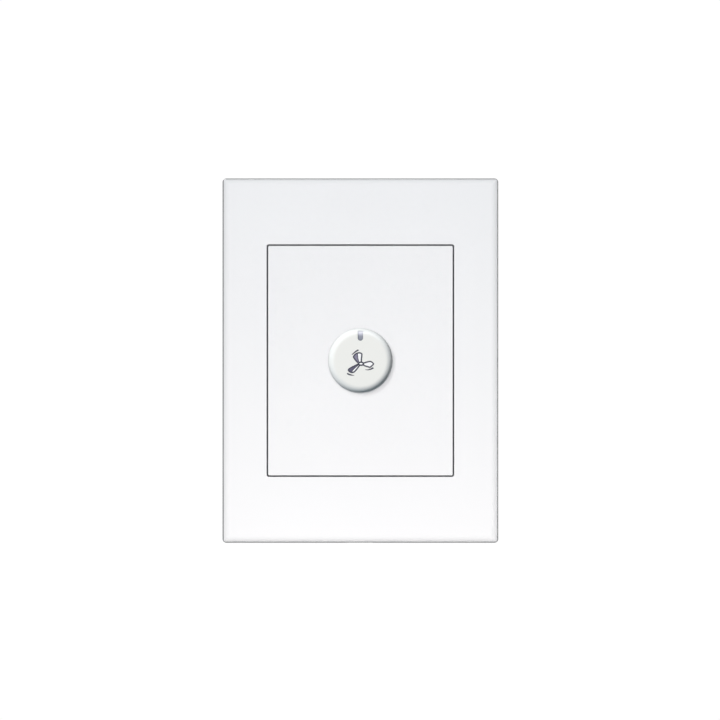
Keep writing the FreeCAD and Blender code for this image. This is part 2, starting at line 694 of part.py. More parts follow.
# choke: ferrite ring and its winding
CX, CZ, CY0, CY1 = -11.6, 1.4, 16.8, 23.8
core = cyl(8.2, CY0, CY1, CX, CZ).cut(cyl(4.4, 0, 40, CX, CZ))
core = core.makeFillet(0.8, core.Edges)
nodes["choke_core"] = core
wind = cyl(9.3, CY0 - 1.1, CY1 + 1.1, CX, CZ).cut(cyl(3.3, 0, 40, CX, CZ))
wind = wind.makeFillet(1.3, edges_at(wind, lambda m: True))
wind = wind.cut(cyl(8.3, CY0 - 0.1, CY1 + 0.1, CX, CZ).cut(cyl(4.3, 0, 40, CX, CZ)))
wind = wind.cut(
    prism(
        [
            (CX, 10, CZ),
            (CX - 14.0, 10, CZ - 4.6),
            (CX - 14.0, 10, CZ + 4.6),
        ],
        (0, 20, 0),
    )
)
wind = join(
    wind,
    pin(CX - 6.6, CZ - 4.4, PCB_Y - 1.2, CY0 - 0.4, 0.45),
    pin(CX - 6.6, CZ + 4.4, PCB_Y - 1.2, CY0 - 0.4, 0.45),
)
nodes["choke_winding"] = wind

# triac lying flat, with a heat sink behind it
triac = box(4.0, 14.0, 19.5, 24.0, 5.4, 14.4)
triac = triac.makeFillet(0.4, edges_at(triac, lambda m: abs(m.y - 19.5) < 1e-6))
tab = box(4.0, 14.0, 22.7, 24.0, 14.2, 21.0)
triac = join(triac, tab)
for lx in (-2.54, 0.0, 2.54):
    lead = join(
        box(9 + lx - 0.4, 9 + lx + 0.4, 20.9, 21.5, 2.9, 5.6),
        box(9 + lx - 0.4, 9 + lx + 0.4, PCB_Y - 1.0, 21.5, 2.9, 3.5),
    )
    pcb_holes.append((9 + lx, 3.2, 0.62))
    triac = join(triac, lead)
triac = triac.cut(cyl(1.8, 0, 40, 9.0, 18.0))
nodes["triac"] = triac

pad = box(3.4, 14.6, 24.0, 24.25, 4.8, 21.4).cut(cyl(1.8, 0, 40, 9.0, 18.0))
nodes["insulating_pad"] = pad

sink = box(0.4, 17.6, 24.25, 26.1, 4.0, 25.4)
sink = join(sink, box(0.4, 2.0, PCB_BACK, 26.1, 15.0, 25.4))
sink = sink.makeFillet(
    1.2, edges_at(sink, lambda m: abs(m.x - 0.4) < 1e-6 and abs(m.y - 26.1) < 1e-6)
)
sink = join(
    sink,
    box(0.5, 1.9, PCB_Y - 0.8, PCB_BACK + 0.4, 17.0, 18.8),
    box(0.5, 1.9, PCB_Y - 0.8, PCB_BACK + 0.4, 21.6, 23.4),
)
sink = sink.cut(cyl(1.65, 0, 40, 9.0, 18.0))
nodes["heat_sink"] = sink

ts = join(cyl(1.45, 19.6, 26.3, 9.0, 18.0), cyl(2.75, 26.1, 27.9, 9.0, 18.0))
ts = ts.makeFillet(0.6, edges_at(ts, lambda m: abs(m.y - 27.9) < 1e-6))
ts = ts.cut(cross_slot(9.0, 18.0, 27.0, 29.0, 1.5, 0.35))
nodes["triac_screw"] = ts
tn = prism(
    [
        (9.0 + 3.1 * math.cos(math.radians(60 * i)), 20.4,
         18.0 + 3.1 * math.sin(math.radians(60 * i)))
        for i in range(6)
    ],
    (0, 2.3, 0),
).cut(cyl(1.5, 0, 40, 9.0, 18.0))
nodes["triac_nut"] = tn


def film_cap(x0, x1, z0, z1, h):
    c = box(x0, x1, PCB_BACK + 0.2, PCB_BACK + 0.2 + h, z0, z1)
    c = c.makeFillet(0.5, c.Edges)
    zc = (z0 + z1) / 2
    return join(
        c,
        pin(x0 + 1.1, zc, PCB_Y - 1.0, PCB_BACK + 0.8, 0.35),
        pin(x1 - 1.1, zc, PCB_Y - 1.0, PCB_BACK + 0.8, 0.35),
    )


nodes["timing_capacitor"] = film_cap(-20.4, -13.2, 12.4, 15.8, 7.0)
nodes["snubber_capacitor"] = film_cap(-11.4, -3.2, 12.4, 16.4, 8.4)


def axial(x0, x1, z, r, reach):
    """Axial part with two bent leads."""
    y = PCB_BACK + 0.3 + r
    b = cyl_x(r, x0, x1, y, z)
    b = b.makeFillet(0.35, b.Edges)
    lead = 0.32
    for xe, s in ((x0, -1), (x1, 1)):
        xo = xe + s * reach
        a, c = sorted((xe - s * 0.5, xo + s * lead))
        b = join(
            b,
            cyl_x(lead, a, c, y, z),
            pin(xo, z, PCB_Y - 1.0, y, lead),
        )
    return b


nodes["diac"] = axial(-18.8, -14.8, 19.6, 1.0, 1.8)
nodes["resistors"] = Part.makeCompound(
    [
        axial(-9.6, -3.2, 19.6, 1.2, 1.7),
        axial(-9.6, -3.2, 23.2, 1.2, 1.7),
        axial(-3.2, 3.2, -22.6, 1.2, 1.7),
    ]
)

# fuse and its two clips
FY, FZ = 18.9, -13.2
fuse = cyl_x(2.5, -10.0, 10.0, FY, FZ)
for x0, x1 in ((-10.0, -4.6), (4.6, 10.0)):
    fuse = join(fuse, cyl_x(2.6, x0, x1, FY, FZ))
nodes["fuse"] = fuse
clips = []
for sx in (-1, 1):
    x0, x1 = sorted((sx * 5.4, sx * 9.2))
    band = cyl_x(3.0, x0, x1, FY, FZ).cut(cyl_x(2.62, x0 - 1, x1 + 1, FY, FZ))
    band = band.cut(box(x0 - 1, x1 + 1, FY + 1.6, FY + 6, FZ - 4, FZ + 4))
    foot = box(x0, x1, FY - 3.4, FY - 2.8, FZ - 1.6, FZ + 1.6).cut(
        cyl_x(2.62, x0 - 1, x1 + 1, FY, FZ)
    )
    c = join(
        band,
        foot,
        pin((x0 + x1) / 2, FZ - 0.9, PCB_Y - 1.0, FY - 3.0, 0.45),
        pin((x0 + x1) / 2, FZ + 0.9, PCB_Y - 1.0, FY - 3.0, 0.45),
    )
    clips.append(c)
nodes["fuse_clips"] = Part.makeCompound(clips)

# ---------------------------------------------------------------- circuit board
pcb = box(-PCB_W / 2, PCB_W / 2, PCB_Y, PCB_BACK, -PCB_H / 2, PCB_H / 2)
for sx in (-1, 1):
    for sz in (-1, 1):
        x0, x1 = sorted((sx * 17.6, sx * 30.0))
        z0, z1 = sorted((sz * 21.6, sz * 30.0))
        pcb = pcb.cut(box(x0, x1, 0, 30, z0, z1))
pcb = pcb.cut(box(0.4, 2.0, 0, 30, 16.9, 18.9)).cut(box(0.4, 2.0, 0, 30, 21.5, 23.5))
for x, z, r in pcb_holes:
    pcb = pcb.cut(cyl(r, 0, 30, x, z))
nodes["circuit_board"] = pcb

# ---------------------------------------------------------------- write
for name, shape in nodes.items():
    shape.exportStep("parts/%s.step" % name)
    solids = shape.Solids
    good = all(s.isValid() and s.isClosed() and s.Volume > 0 for s in solids)
    print("%-24s solids %d  ok %s  volume %.1f" % (name, len(solids), good, shape.Volume))
print(len(nodes), "nodes")
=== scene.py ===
import json
import math

import bmesh
import bpy
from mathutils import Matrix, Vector

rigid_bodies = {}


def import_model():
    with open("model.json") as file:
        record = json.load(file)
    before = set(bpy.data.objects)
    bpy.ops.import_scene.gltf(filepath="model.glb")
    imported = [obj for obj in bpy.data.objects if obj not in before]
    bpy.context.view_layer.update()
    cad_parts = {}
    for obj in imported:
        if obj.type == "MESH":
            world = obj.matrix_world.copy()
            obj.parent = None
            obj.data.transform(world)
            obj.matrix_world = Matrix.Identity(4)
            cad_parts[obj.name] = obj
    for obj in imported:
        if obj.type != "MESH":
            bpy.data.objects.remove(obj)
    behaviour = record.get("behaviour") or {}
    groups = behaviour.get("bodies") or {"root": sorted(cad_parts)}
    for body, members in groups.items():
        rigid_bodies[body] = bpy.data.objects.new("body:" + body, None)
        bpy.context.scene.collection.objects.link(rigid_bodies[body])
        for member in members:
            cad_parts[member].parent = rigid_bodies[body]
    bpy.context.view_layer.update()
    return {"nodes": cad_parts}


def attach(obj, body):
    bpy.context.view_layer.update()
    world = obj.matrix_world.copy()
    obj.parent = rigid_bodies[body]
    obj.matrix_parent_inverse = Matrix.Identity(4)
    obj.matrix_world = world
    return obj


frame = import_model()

NODES = frame["nodes"]
MM = 0.001
scene = bpy.context.scene


# ------------------------------------------------------------------ colour
def lin(r, g, b):
    """sRGB 0-255 to linear."""
    out = []
    for c in (r, g, b):
        c /= 255.0
        out.append(c / 12.92 if c <= 0.04045 else ((c + 0.055) / 1.055) ** 2.4)
    return (*out, 1.0)


# ------------------------------------------------------------------ materials
class Mat:
    """A small wrapper for building one procedural material."""

    def __init__(self, name):
        self.mat = bpy.data.materials.new(name)
        self.mat.use_nodes = True
        self.nt = self.mat.node_tree
        self.nt.nodes.clear()
        self.out = self.add("ShaderNodeOutputMaterial")
        self.bsdf = self.add("ShaderNodeBsdfPrincipled")
        self.link(self.bsdf.outputs[0], self.out.inputs["Surface"])
        self.coord = self.add("ShaderNodeTexCoord").outputs["Object"]

    def add(self, kind, **props):
        n = self.nt.nodes.new(kind)
        for k, v in props.items():
            setattr(n, k, v)
        return n

    def link(self, a, b):
        self.nt.links.new(a, b)

    def set(self, **values):
        for k, v in values.items():
            self.bsdf.inputs[k.replace("_", " ")].default_value = v
        return self

    def mapped(self, scale=(1, 1, 1), loc=(0, 0, 0), rot=(0, 0, 0)):
        m = self.add("ShaderNodeMapping")
        m.inputs["Scale"].default_value = scale
        m.inputs["Location"].default_value = loc
        m.inputs["Rotation"].default_value = rot
        self.link(self.coord, m.inputs["Vector"])
        return m.outputs[0]

    def noise(self, scale, detail=3.0, rough=0.5, vector=None, distortion=0.0):
        n = self.add("ShaderNodeTexNoise")
        n.inputs["Scale"].default_value = scale
        n.inputs["Detail"].default_value = detail
        n.inputs["Roughness"].default_value = rough
        n.inputs["Distortion"].default_value = distortion
        self.link(vector or self.coord, n.inputs["Vector"])
        return n.outputs[0]

    def ramp(self, fac, stops, interp="LINEAR"):
        r = self.add("ShaderNodeValToRGB")
        cr = r.color_ramp
        cr.interpolation = interp
        while len(cr.elements) < len(stops):
            cr.elements.new(0.5)
        for e, (p, c) in zip(cr.elements, stops):
            e.position, e.color = p, c
        self.link(fac, r.inputs[0])
        return r.outputs[0]

    def span(self, value, a, b, lo, hi):
        m = self.add("ShaderNodeMapRange")
        for i, v in zip(range(1, 5), (a, b, lo, hi)):
            m.inputs[i].default_value = v
        self.link(value, m.inputs[0])
        return m.outputs[0]

    def math(self, op, a, b=None):
        n = self.add("ShaderNodeMath", operation=op)
        for i, v in enumerate((a, b)):
            if v is None:
                continue
            if isinstance(v, (int, float)):
                n.inputs[i].default_value = v
            else:
                self.link(v, n.inputs[i])
        return n.outputs[0]

    def mix(self, fac, a, b):
        n = self.add("ShaderNodeMix", data_type="RGBA")
        self.link(fac, n.inputs[0])
        for i, v in ((6, a), (7, b)):
            if isinstance(v, tuple):
                n.inputs[i].default_value = v
            else:
                self.link(v, n.inputs[i])
        return n.outputs[2]

    def xyz(self, vector=None):
        s = self.add("ShaderNodeSeparateXYZ")
        self.link(vector or self.coord, s.inputs[0])
        return s.outputs

    def color(self, socket):
        self.link(socket, self.bsdf.inputs["Base Color"])

    def rough(self, socket):
        self.link(socket, self.bsdf.inputs["Roughness"])

    def bump(self, layers):
        """layers: (height socket, strength, distance in metres), applied one after another."""
        prev = None
        for h, strength, dist in layers:
            b = self.add("ShaderNodeBump")
            b.inputs["Strength"].default_value = strength
            b.inputs["Distance"].default_value = dist
            self.link(h, b.inputs["Height"])
            if prev is not None:
                self.link(prev, b.inputs["Normal"])
            prev = b.outputs[0]
        self.link(prev, self.bsdf.inputs["Normal"])


def shade(c, k):
    return tuple(min(1.0, v * k) for v in c[:3]) + (1.0,)


def plastic(name, colour, vary=0.015, rough=(0.3, 0.42), grain=1800.0, grain_bump=0.08,
            flow_bump=0.05, specular=0.5):
    """Injection moulding: faint tone drift, fine tool grain, slow flow waviness."""
    m = Mat(name)
    drift = m.noise(28.0, 4.0, 0.55)
    m.color(m.ramp(drift, [(0.3, shade(colour, 1 - vary)), (0.7, shade(colour, 1 + vary))]))
    fine = m.noise(grain, 3.0, 0.6)
    m.rough(m.span(fine, 0.3, 0.7, rough[0], rough[1]))
    slow = m.noise(55.0, 1.0, 0.4)
    m.bump([(slow, flow_bump, 0.0002), (fine, grain_bump, 0.00003)])
    m.set(Specular_IOR_Level=specular, IOR=1.49)
    return m


def metal(name, colour, vary=0.08, rough=(0.22, 0.42), along=(1, 1, 1), scale=900.0, scratch=0.12,
          tint=None):
    """Sheet, turned or drawn metal: directional hairlines, cloudy tone."""
    m = Mat(name)
    cloud = m.noise(120.0, 5.0, 0.6)
    m.color(
        m.ramp(
            cloud,
            [(0.3, shade(colour, 1 - vary)), (0.55, tint or colour), (0.75, shade(colour, 1 + vary))],
        )
    )
    hair = m.noise(scale, 4.0, 0.65, m.mapped(along))
    m.rough(m.span(hair, 0.3, 0.7, rough[0], rough[1]))
    m.bump([(hair, scratch, 0.00002)])
    m.set(Metallic=1.0)
    return m


WHITE = lin(243, 244, 246)
KNOB = lin(240, 240, 236)

M = {}
M["white"] = plastic("white_plastic", WHITE, vary=0.006, rough=(0.34, 0.44), grain=2600.0,
                     grain_bump=0.05, flow_bump=0.03)
M["white"].set(Coat_Weight=1.0, Coat_Roughness=0.06, Coat_IOR=1.5)
M["knob"] = plastic("knob_plastic", KNOB, vary=0.008, rough=(0.3, 0.4), grain=2600.0,
                    grain_bump=0.04, flow_bump=0.03)
# painted shade: the rounded rim is mixed to a cooler, darker colour than its face, which dims the highlight on its lit
# side and deepens its shaded side
rim = M["knob"]
place = rim.xyz()
off_axis = rim.math("SQRT", rim.math("ADD", rim.math("MULTIPLY", place[0], place[0]),
                                     rim.math("MULTIPLY", place[2], place[2])))
rim.color(rim.mix(rim.span(off_axis, 0.0082, 0.0094, 0.0, 1.0),
                  rim.bsdf.inputs["Base Color"].links[0].from_socket, lin(233, 235.5, 234.5)))
M["housing"] = plastic("housing_plastic", lin(62, 63, 66), vary=0.08, rough=(0.46, 0.66), grain=2200.0,
                       grain_bump=0.4, flow_bump=0.08, specular=0.4)
M["black"] = plastic("black_plastic", lin(34, 34, 36), vary=0.1, rough=(0.4, 0.6), grain=1600.0,
                     grain_bump=0.25)
M["yellow"] = plastic("yellow_plastic", lin(222, 178, 62), vary=0.04, rough=(0.28, 0.4), grain=1500.0)
M["red"] = plastic("red_plastic", lin(170, 58, 44), vary=0.05, rough=(0.25, 0.4), grain=1500.0)
M["pad"] = plastic("grey_pad", lin(150, 154, 160), vary=0.05, rough=(0.7, 0.85), grain=2500.0, grain_bump=0.4)
M["blue"] = plastic("blue_lacquer", lin(44, 86, 150), vary=0.06, rough=(0.2, 0.35), grain=1500.0)
M["zinc"] = metal("zinc_steel", lin(222, 225, 229), vary=0.04, rough=(0.3, 0.38), along=(1, 1, 0.04), scale=4200.0,
                  scratch=0.06, tint=lin(220, 222, 223))
M["screw"] = metal("screw_steel", lin(188, 190, 194), vary=0.1, rough=(0.22, 0.38), scale=1500.0)
M["spring"] = metal("spring_steel", lin(168, 170, 175), rough=(0.2, 0.34), along=(1, 0.1, 1))
M["brass"] = metal("brass", lin(206, 172, 96), vary=0.12, rough=(0.22, 0.42), along=(1, 1, 0.08),
                   tint=lin(198, 158, 84))
M["tinned"] = metal("tinned_brass", lin(200, 199, 194), rough=(0.25, 0.4), scale=1200.0)
M["shaft"] = metal("shaft_alloy", lin(206, 206, 208), vary=0.05, rough=(0.2, 0.34), along=(0.05, 1, 0.05), scale=1600.0)
M["sink"] = metal("sink_aluminium", lin(198, 200, 203), vary=0.06, rough=(0.3, 0.46), along=(0.06, 1, 1))

# laminate for the circuit board and the track carrier
for key, name, colour in (("board", "board", lin(178, 134, 76)), ("phenolic", "phenolic", lin(128, 80, 42))):
    m = Mat(name)
    fibre = m.noise(700.0, 4.0, 0.6, m.mapped((1, 1, 0.15)))
    m.color(m.ramp(fibre, [(0.3, shade(colour, 0.85)), (0.7, shade(colour, 1.12))]))
    m.rough(m.span(fibre, 0.3, 0.7, 0.45, 0.6))
    m.bump([(fibre, 0.15, 0.00003)])
    M[key] = m

# pressed powder ring
m = Mat("ferrite")
grit = m.noise(2400.0, 3.0, 0.7)
m.color(m.ramp(grit, [(0.3, lin(40, 40, 42)), (0.7, lin(66, 66, 70))]))
m.rough(m.span(grit, 0.3, 0.7, 0.55, 0.8))
m.bump([(grit, 0.4, 0.00004)])
M["ferrite"] = m

# enamelled wire: turns fan out round the axis of the ring
m = Mat("copper")
x, y, z = m.xyz(m.mapped((1, 1, 1), (11.6 * MM, 0, -1.4 * MM)))
angle = m.math("ARCTAN2", z, x)
turns = m.math("ABSOLUTE", m.math("SINE", m.math("MULTIPLY", angle, 38.0)))
cloud = m.noise(400.0, 3.0, 0.5)
# painted highlight and shade: each turn is lightest on its crown and darkens to deep brown where it meets the next
# turn, painted shade between the turns
m.color(m.ramp(turns, [(0.0, lin(86, 40, 20)), (0.35, lin(166, 92, 50)), (1.0, lin(206, 128, 78))]))
m.rough(m.span(cloud, 0.3, 0.7, 0.2, 0.34))
m.bump([(turns, 0.8, 0.0003)])
m.set(Metallic=0.85)
M["copper"] = m

# resistor body with plain colour bands; bare leads beyond the ends
m = Mat("tan_lacquer")
x, y, z = m.xyz()
low = m.math("LESS_THAN", z, 0.0)
u = m.math("ADD", x, m.math("SUBTRACT", 6.4 * MM, m.math("MULTIPLY", low, 6.4 * MM)))
pos = m.span(u, -5.0 * MM, 5.0 * MM, 0.0, 1.0)
tan, tin = lin(206, 176, 132), lin(190, 190, 188)
m.color(
    m.ramp(
        pos,
        [
            (0.0, tin), (0.178, tan), (0.28, lin(120, 66, 34)), (0.34, tan), (0.42, lin(30, 30, 32)),
            (0.48, tan), (0.56, lin(196, 110, 40)), (0.62, tan), (0.72, lin(180, 150, 70)), (0.78, tan),
            (0.822, tin),
        ],
        "CONSTANT",
    )
)
grit = m.noise(1500.0, 3.0, 0.5)
m.rough(m.span(grit, 0.3, 0.7, 0.22, 0.36))
m.bump([(grit, 0.1, 0.00003)])
M["resistor"] = m

# fuse: clear tube between plated caps
m = Mat("fuse_tube")
x, y, z = m.xyz()
cap = m.math("GREATER_THAN", m.math("ABSOLUTE", x), 4.6 * MM)
grit = m.noise(900.0, 3.0, 0.5)
m.color(m.mix(cap, m.ramp(grit, [(0.3, lin(226, 234, 232)), (0.7, lin(236, 242, 240))]), lin(204, 204, 200)))
m.link(cap, m.bsdf.inputs["Metallic"])
m.link(m.span(cap, 0.0, 1.0, 0.9, 0.0), m.bsdf.inputs["Transmission Weight"])
m.rough(m.span(grit, 0.3, 0.7, 0.06, 0.2))
M["fuse"] = m

# triac: epoxy body, plated tab and leads
m = Mat("triac_epoxy")
x, y, z = m.xyz()
tab = m.math("MAXIMUM", m.math("GREATER_THAN", z, 14.42 * MM), m.math("LESS_THAN", z, 5.38 * MM))
grit = m.noise(2200.0, 3.0, 0.6)
m.color(m.mix(tab, m.ramp(grit, [(0.3, lin(30, 30, 32)), (0.7, lin(44, 44, 46))]), lin(196, 196, 192)))
m.link(tab, m.bsdf.inputs["Metallic"])
m.rough(m.span(grit, 0.3, 0.7, 0.34, 0.5))
m.bump([(grit, 0.2, 0.00003)])
M["triac"] = m

# printed symbol and pointer paint
m = Mat("symbol_ink")
speck = m.noise(5200.0, 2.0, 0.5)
m.color(m.ramp(speck, [(0.3, lin(64, 64, 78)), (0.7, lin(80, 80, 94))]))
m.rough(m.span(speck, 0.3, 0.7, 0.4, 0.55))
M["ink"] = m

m = Mat("symbol_white")
speck = m.noise(5200.0, 2.0, 0.5)
m.color(m.ramp(speck, [(0.3, lin(249, 249, 250)), (0.7, lin(254, 254, 254))]))
m.rough(m.span(speck, 0.3, 0.7, 0.4, 0.55))
M["white_ink"] = m

m = Mat("symbol_tint")
x, y, z = m.xyz()
speck = m.noise(5200.0, 2.0, 0.5)
light_tint = m.ramp(speck, [(0.3, lin(130, 126, 148)), (0.7, lin(146, 142, 162))])
dark_tint = m.ramp(speck, [(0.3, lin(92, 90, 112)), (0.7, lin(112, 110, 130))])
m.color(m.mix(m.span(z, -1.6 * MM, -0.4 * MM, 0.0, 1.0), dark_tint, light_tint))
m.rough(m.span(speck, 0.3, 0.7, 0.4, 0.55))
M["tint"] = m

# pointer ink with painted light: its grey lightens from the inner end towards the rim, a painted highlight where the
# groove turns up over the rim, and its flanks are darker, painted shade along the groove's sides
m = Mat("pointer_ink_and_shade")
x, y, z = m.xyz()
along = m.span(z, 6.4 * MM, 9.6 * MM, 0.0, 1.0)
ink_to_highlight = m.ramp(
    along,
    [(0.0, lin(120, 123, 133)), (0.2, lin(144, 148, 160)), (0.42, lin(152, 156, 169)), (0.54, lin(174, 176, 188)),
     (0.68, lin(198, 199, 211)), (0.92, lin(228, 229, 237))],
)
flank_shade = m.ramp(
    along,
    [(0.0, lin(108, 111, 120)), (0.2, lin(124, 128, 139)), (0.42, lin(134, 138, 150)), (0.54, lin(160, 162, 174)),
     (0.68, lin(184, 185, 197)), (0.92, lin(224, 225, 233))],
)
m.color(m.mix(m.span(m.math("ABSOLUTE", x), 0.40 * MM, 0.75 * MM, 0.0, 1.0), ink_to_highlight, flank_shade))
speck = m.noise(4000.0, 2.0, 0.5)
m.rough(m.span(speck, 0.3, 0.7, 0.4, 0.55))
M["pointer"] = m

FINISH = {
    "cover_plate": "white", "centre_panel": "white", "control_knob": "knob", "knob_spring_clip": "spring",
    "mounting_frame": "zinc", "housing_base": "housing", "housing_lid": "housing", "housing_screws": "screw",
    "pot_bushing": "zinc", "pot_lock_washer": "spring", "pot_nut": "zinc", "pot_shaft": "shaft",
    "pot_track_wafer": "phenolic", "pot_terminals": "tinned", "pot_can": "zinc", "pot_rotor": "black",
    "pot_wiper": "brass", "pot_switch": "black", "terminal_line": "brass", "terminal_fan": "brass",
    "terminal_screws": "screw", "suppression_capacitor": "yellow", "choke_core": "ferrite",
    "choke_winding": "copper", "triac": "triac", "insulating_pad": "pad", "heat_sink": "sink",
    "triac_screw": "screw", "triac_nut": "screw", "timing_capacitor": "red", "snubber_capacitor": "red",
    "diac": "blue", "resistors": "resistor", "fuse": "fuse", "fuse_clips": "tinned", "circuit_board": "board",
}
for node, key in FINISH.items():
    mesh = NODES[node].data
    mesh.materials.clear()
    mesh.materials.append(M[key].mat)


# ------------------------------------------------------------------ knob print
KNOB_R, KNOB_EDGE, KNOB_TOP = 10.35, 2.15, -18.5


def knob_y(r, inset):
    """Height (y, mm) of the knob's outside at radius r, taken in by inset."""
    rr, e = KNOB_R - inset, KNOB_EDGE - inset
    cx, cy = rr - e, KNOB_TOP + inset + e
    if r <= cx:
        return KNOB_TOP + inset
    return cy - math.sqrt(max(0.0, e * e - (r - cx) ** 2))


def make(name, verts, faces, mat, body, slot=None):
    mesh = bpy.data.meshes.new(name)
    mesh.from_pydata([tuple(c * MM for c in v) for v in verts], [], faces)
    bm = bmesh.new()
    bm.from_mesh(mesh)
    bmesh.ops.remove_doubles(bm, verts=bm.verts, dist=1e-7)
    bmesh.ops.recalc_face_normals(bm, faces=bm.faces)
    bm.to_mesh(mesh)
    bm.free()
    mesh.materials.append(mat.mat)
    ob = bpy.data.objects.new(name, mesh)
    scene.collection.objects.link(ob)
    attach(ob, body)
    return ob


INK_TOP, INK_LOW = KNOB_TOP - 0.02, KNOB_TOP + 0.01


def curve(points, closed=False, steps=8):
    """Smooth Catmull-Rom line through 2-D points."""
    n = len(points)
    out = []
    last = n if closed else n - 1
    for i in range(last):
        p = [points[(i + k) % n] if closed else points[min(max(i + k, 0), n - 1)] for k in (-1, 0, 1, 2)]
        for s in range(steps):
            t = s / steps
            out.append(
                tuple(
                    0.5 * (2 * p[1][a] + (p[2][a] - p[0][a]) * t
                           + (2 * p[0][a] - 5 * p[1][a] + 4 * p[2][a] - p[3][a]) * t * t
                           + (3 * p[1][a] - p[0][a] - 3 * p[2][a] + p[3][a]) * t ** 3)
                    for a in (0, 1)
                )
            )
    if not closed:
        out.append(points[-1])
    return out


def ribbon(line, width, closed=False):
    """Verts and faces of a thin raised stroke along a 2-D line. width is a number or one per point."""
    n = len(line)
    verts, faces = [], []
    for i, (x, z) in enumerate(line):
        a = line[(i - 1) % n] if closed or i > 0 else line[i]
        b = line[(i + 1) % n] if closed or i < n - 1 else line[i]
        dx, dz = b[0] - a[0], b[1] - a[1]
        length = math.hypot(dx, dz) or 1.0
        w = (width[i] if isinstance(width, list) else width) / 2
        ox, oz = -dz / length * w, dx / length * w
        verts += [(x + ox, INK_TOP, z + oz), (x - ox, INK_TOP, z - oz),
                  (x - ox, INK_LOW, z - oz), (x + ox, INK_LOW, z + oz)]
    for i in range(n if closed else n - 1):
        p, q = 4 * i, 4 * ((i + 1) % n)
        for k in range(4):
            faces.append((p + k, p + (k + 1) % 4, q + (k + 1) % 4, q + k))
    if not closed:
        faces += [(0, 1, 2, 3), (4 * n - 4, 4 * n - 3, 4 * n - 2, 4 * n - 1)]
    return verts, faces


def field(outline, top=INK_TOP + 0.004):
    """Verts and faces of a thin filled area."""
    n = len(outline)
    verts = [(x, top, z) for x, z in outline] + [(x, INK_LOW, z) for x, z in outline]
    faces = [tuple(range(n)), tuple(range(2 * n - 1, n - 1, -1))]
    faces += [(i, (i + 1) % n, n + (i + 1) % n, n + i) for i in range(n)]
    return verts, faces


def gather(parts):
    verts, faces = [], []
    for v, f in parts:
        k = len(verts)
        verts += v
        faces += [tuple(i + k for i in face) for face in f]
    return verts, faces


HUB = (0.19, -1.00)
LINE = 0.43

# three blades of the fan, each an outline from the hub and back (mm from the knob's centre)
upper = [(-0.80, -0.66), (-1.40, -0.06), (-1.82, 0.48), (-2.20, 1.14), (-2.06, 1.58), (-1.58, 2.08), (-1.00, 2.38),
         (-0.42, 2.49), (0.08, 2.40), (0.44, 2.14), (0.41, 1.33), (0.32, 0.48), (0.26, -0.36)]
right = [(1.00, -0.82), (1.58, -0.62), (2.31, -0.42), (3.11, -0.28), (3.68, -0.48), (4.20, -1.08), (3.84, -1.50),
         (3.38, -1.95), (3.03, -2.13), (2.31, -1.94), (1.58, -1.72), (0.92, -1.40)]
lower = [(-0.72, -1.10), (-1.64, -1.58), (-2.37, -1.93), (-3.10, -2.30), (-3.66, -2.68), (-3.86, -3.07),
         (-3.58, -3.48), (-3.01, -3.78), (-2.34, -3.78), (-1.81, -3.45), (-1.24, -2.81), (-0.68, -2.06), (-0.26, -1.50)]
hub = [(HUB[0] + 0.78 * math.cos(t * math.pi / 12), HUB[1] + 0.49 * math.sin(t * math.pi / 12)) for t in range(24)]
strokes = [ribbon(curve(b, False, 6), LINE) for b in (upper, right, lower)]
strokes.append(ribbon(hub, LINE + 0.03, True))
# lines that part the shaded from the clear half of a blade
upper_part = [(-0.92, 2.34), (-0.90, 1.60), (-0.82, 0.80), (-0.52, -0.50)]
lower_part = [(-2.72, -3.70), (-2.55, -3.20), (-1.98, -2.56), (-1.18, -1.84), (-0.52, -1.28)]
strokes.append(ribbon(curve(upper_part, False), 0.24))
strokes.append(ribbon(curve(lower_part, False), 0.24))


def tick(points, start, middle, end):
    """Short motion stroke with its widths along it."""
    line = curve(points, False, 6)
    n = len(line)
    widths = []
    for i in range(n):
        t = 2.0 * i / (n - 1)
        widths.append(start + (middle - start) * t if t < 1 else middle + (end - middle) * (t - 1))
    return ribbon(line, widths)


strokes.append(tick([(-2.76, 1.90), (-2.24, 2.32), (-1.66, 2.80), (-1.16, 3.16), (-0.62, 3.42)], 0.20, 0.42, 0.46))
strokes.append(tick([(1.58, -2.88), (2.31, -2.98), (2.95, -2.84), (3.51, -2.66), (4.18, -2.28)], 0.14, 0.38, 0.52))
strokes.append(tick([(-4.28, -4.10), (-3.74, -4.40), (-3.10, -4.60), (-2.61, -4.68), (-2.00, -4.70)], 0.52, 0.42, 0.14))
make("fan_symbol_lines", *gather(strokes), M["ink"], "knob", "knob_plastic")

# shaded part of the upper and of the lower blade
shaded = [
    field(curve(upper[:7], False, 6) + curve(upper_part, False)),
    field(curve(lower[:8], False, 6) + curve(lower_part, False)),
]
make("fan_symbol_shade", *gather(shaded), M["tint"], "knob", "knob_plastic")

# clear white inside the blades and the hub
clear_fields = [field(curve(b, False, 6), INK_TOP + 0.009) for b in (upper, right, lower)]
clear_fields.append(field(hub, INK_TOP + 0.008))
make("fan_symbol_white", *gather(clear_fields), M["white_ink"], "knob", "knob_plastic")

